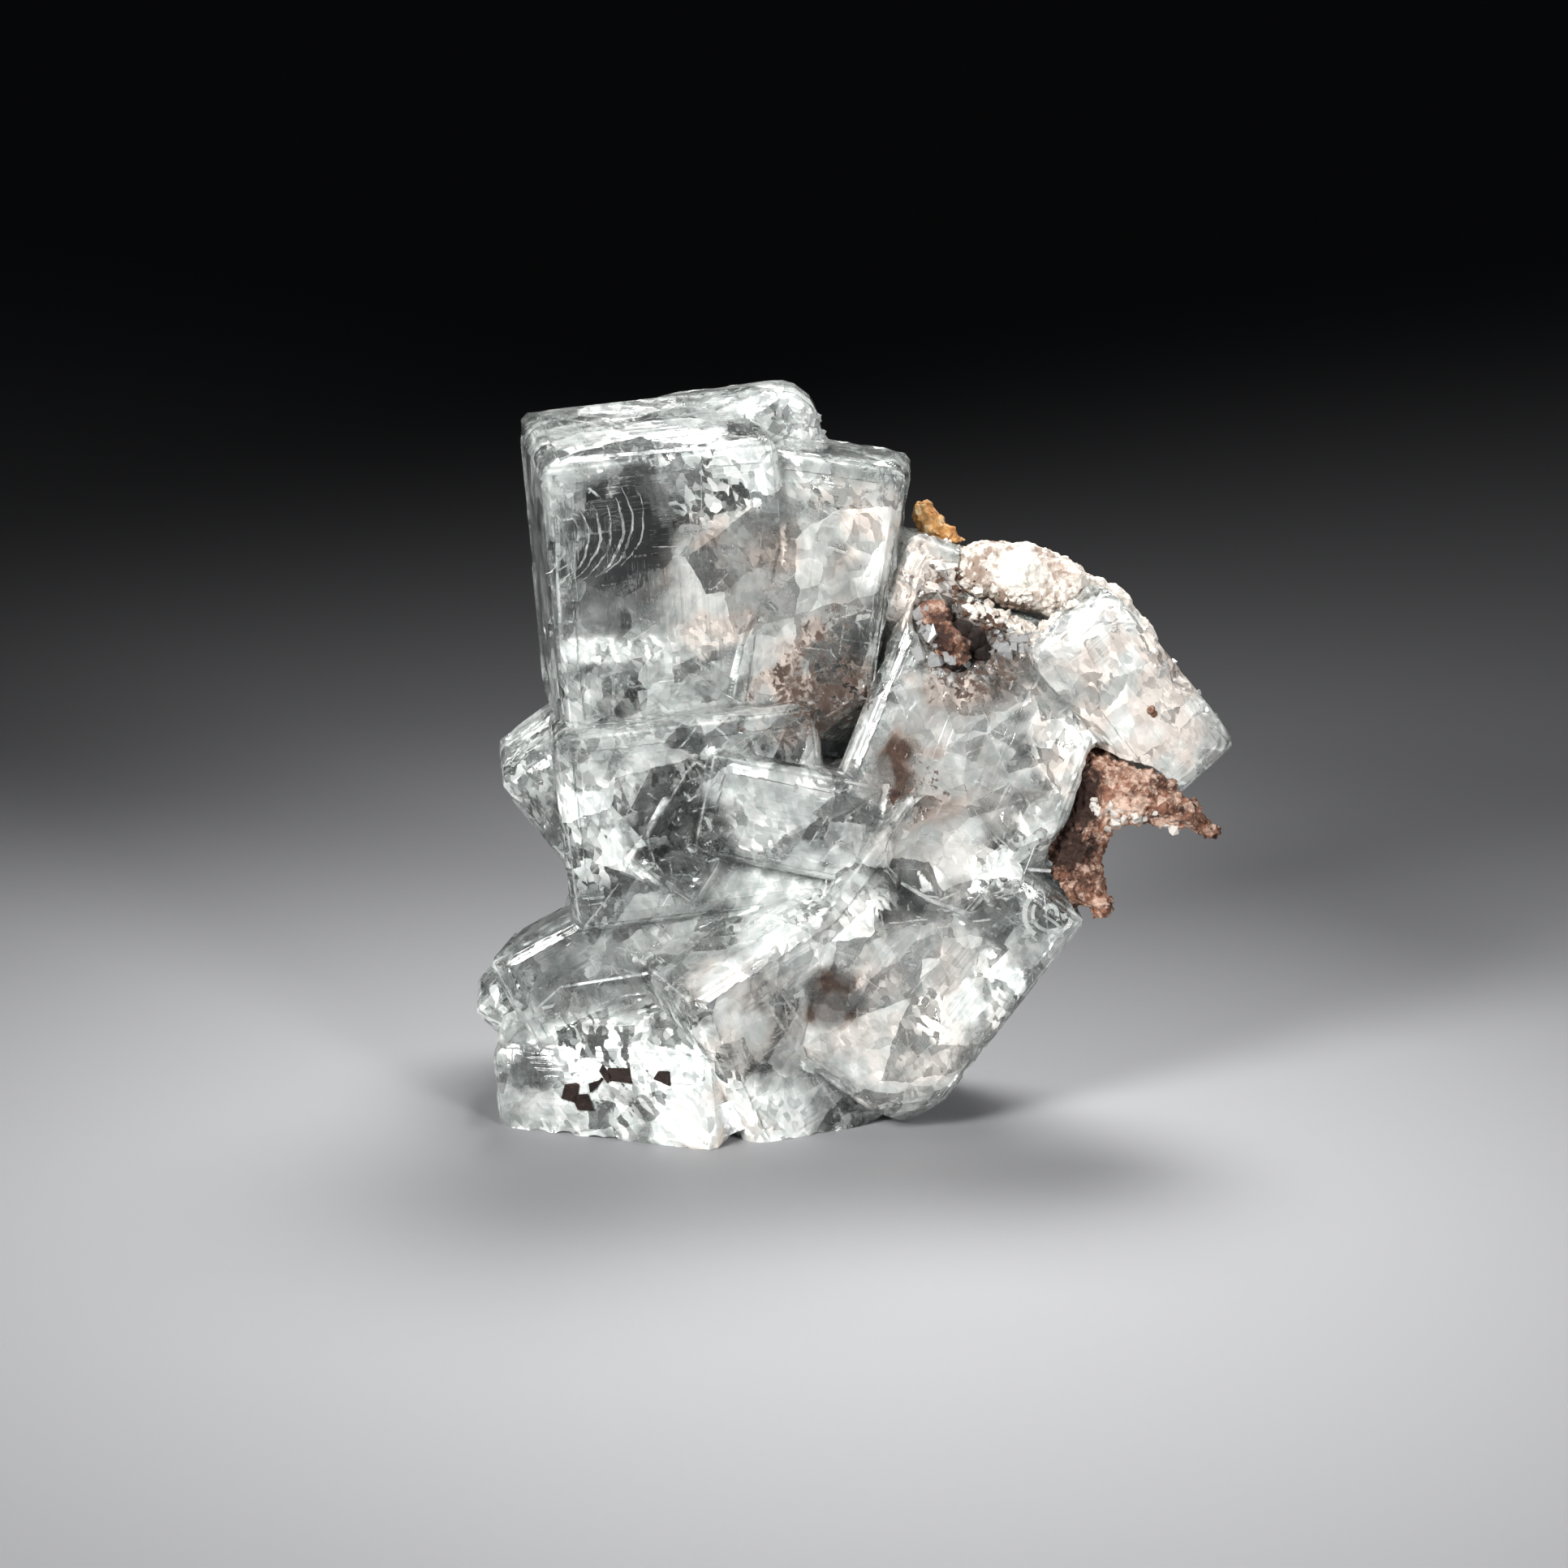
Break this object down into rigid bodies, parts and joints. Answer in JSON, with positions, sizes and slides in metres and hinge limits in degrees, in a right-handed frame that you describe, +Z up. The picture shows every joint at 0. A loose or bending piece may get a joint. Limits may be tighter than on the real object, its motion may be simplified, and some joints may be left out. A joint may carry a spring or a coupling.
{
  "type": "fluorite specimen",
  "caption": "Hand-sized cluster of clear cube-habit fluorite crystals grown through each other, with a pale crust and a rusty claw of matrix, to stand on a shelf.",
  "frame": {"origin": "under the middle of the bounding box, on the flat that the specimen stands on", "axes": "+Z up, +X to the right and -Y towards the viewer, as it stands on display"},
  "size_m": [0.0466, 0.0278, 0.044],
  "materials": {
    "fluorite": "clear, glassy, with veils and cleavage cracks inside",
    "crust": "dull, granular, cream to pink",
    "rust": "dull to satin, granular, rusty red-brown",
    "ochre": "dull, granular, ochre"
  },
  "bodies": {
    "root": {"fluorite_cluster": "fluorite", "matrix_crust": "crust", "matrix_claw": "rust", "rusty_grain": "rust", "ochre_grain": "ochre"}
  },
  "joints": []
}
